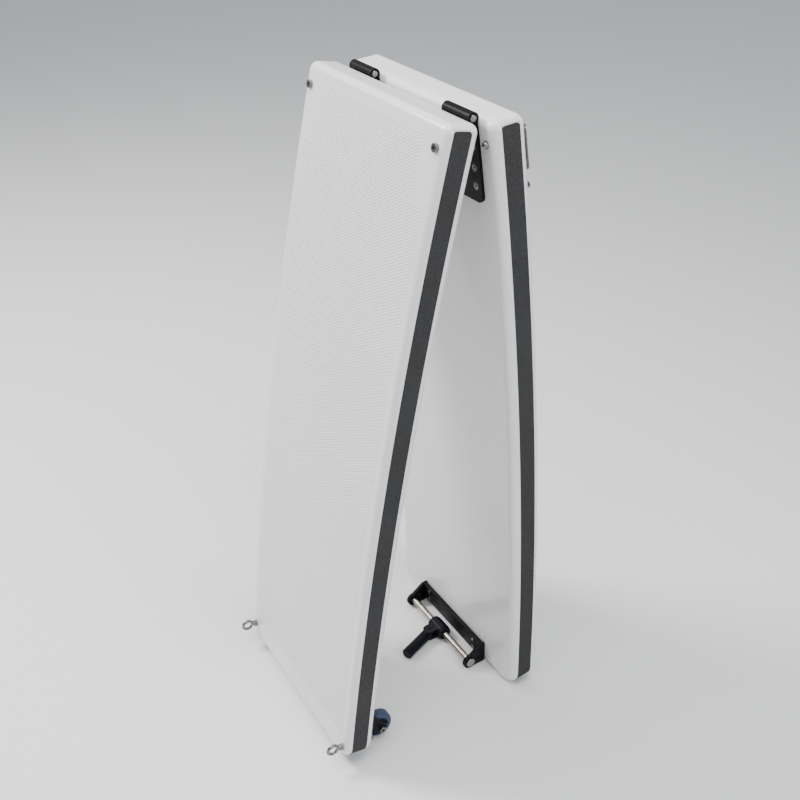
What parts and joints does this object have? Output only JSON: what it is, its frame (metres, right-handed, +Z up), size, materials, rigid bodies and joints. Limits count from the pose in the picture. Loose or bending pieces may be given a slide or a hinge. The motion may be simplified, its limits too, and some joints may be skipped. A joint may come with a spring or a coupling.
{
  "type": "folding boarding gangway",
  "caption": "Folding composite boarding gangway standing half folded, with fold hinges, flip latches, a swivelling deck spigot, shore wheels and eye bolts.",
  "frame": {"origin": "centre of the bounding box on the floor", "axes": "+X along the fold axis towards the side seen nearest, +Y from the shore half towards the boat half, +Z up"},
  "size_m": [0.392, 0.4468, 1.1318],
  "materials": {
    "gelcoat_white": "polished white gelcoat over glass laminate",
    "tread_gelcoat": "moulded diamond non-slip relief",
    "foam": "closed-cell foam core",
    "edge_strip_grey": "dark grey grained edge tape",
    "black_anodised": "black hard anodised",
    "stainless": "turned and polished stainless",
    "rod_steel": "drawn stainless bar",
    "black_acetal": "machined black acetal",
    "blue_tyre": "blue elastic polyurethane"
  },
  "bodies": {
    "boat_half": {"boat_bolt_nuts": "stainless", "boat_deck_skin": "gelcoat_white", "boat_edge_strip": "edge_strip_grey", "boat_foam_core": "foam", "boat_hull_skin": "gelcoat_white", "boat_latch_bolts": "stainless", "boat_leaf_screws": "stainless", "boat_stop_studs": "stainless", "boat_tread_field": "tread_gelcoat", "bracket_screws": "stainless", "hinge_far_boat_leaf": "black_anodised", "hinge_far_pin": "stainless", "hinge_near_boat_leaf": "black_anodised", "hinge_near_pin": "stainless", "latch_far_base": "stainless", "latch_near_base": "stainless", "latch_pins": "stainless", "swivel_bracket": "black_anodised", "swivel_rod": "rod_steel"},
    "shore_half": {"axle_bolt_far": "stainless", "axle_bolt_near": "stainless", "eye_bolt_far": "stainless", "eye_bolt_near": "stainless", "eye_bolt_nuts": "stainless", "fork_screws": "stainless", "hinge_far_shore_leaf": "black_anodised", "hinge_near_shore_leaf": "black_anodised", "shore_deck_skin": "gelcoat_white", "shore_edge_strip": "edge_strip_grey", "shore_foam_core": "foam", "shore_hull_skin": "gelcoat_white", "shore_latch_studs": "stainless", "shore_leaf_screws": "stainless", "shore_stud_nuts": "stainless", "shore_tread_field": "tread_gelcoat", "wheel_fork_far": "black_acetal", "wheel_fork_near": "black_acetal"},
    "latch_far": {"latch_far_flap": "stainless"},
    "latch_near": {"latch_near_flap": "stainless"},
    "bush": {"rod_bush": "black_acetal"},
    "tee": {"spigot_cross_pin": "black_anodised", "spigot_tee": "black_acetal"},
    "spigot": {"spigot_pin": "black_acetal"},
    "wheel_far": {"wheel_hub_far": "black_acetal", "wheel_tyre_far": "blue_tyre"},
    "wheel_near": {"wheel_hub_near": "black_acetal", "wheel_tyre_near": "blue_tyre"}
  },
  "joints": [
    {"name": "fold", "type": "hinge", "parent": "boat_half", "child": "shore_half", "pos_m": [0, 0.05377, 1.12305], "axis": [-1, 0, 0], "range_deg": [-7.85, 164.65]},
    {"name": "bush_slide", "type": "slide", "parent": "boat_half", "child": "bush", "axis": [1, 0, 0], "range_m": [-0.075, 0.083]},
    {"name": "spigot_swivel", "type": "hinge", "parent": "bush", "child": "tee", "pos_m": [-0.004, 0.13344, 0.015], "axis": [1, 0, 0], "range_deg": [-72, 72]},
    {"name": "spigot_lean", "type": "hinge", "parent": "tee", "child": "spigot", "pos_m": [-0.004, 0.10745, 0.01425], "axis": [0, 0.029, -0.9996], "range_deg": [-1, 43]},
    {"name": "latch_near_flip", "type": "hinge", "parent": "boat_half", "child": "latch_near", "pos_m": [0.1786, 0.12105, 1.10962], "axis": [1, 0, 0], "range_deg": [0, 174]},
    {"name": "latch_far_flip", "type": "hinge", "parent": "boat_half", "child": "latch_far", "pos_m": [-0.1786, 0.12105, 1.10962], "axis": [1, 0, 0], "range_deg": [0, 174]},
    {"name": "wheel_near_spin", "type": "hinge", "parent": "shore_half", "child": "wheel_near", "pos_m": [0.149, -0.10306, 0.02633], "axis": [1, 0, 0], "continuous": true},
    {"name": "wheel_far_spin", "type": "hinge", "parent": "shore_half", "child": "wheel_far", "pos_m": [-0.149, -0.10306, 0.02633], "axis": [1, 0, 0], "continuous": true}
  ]
}
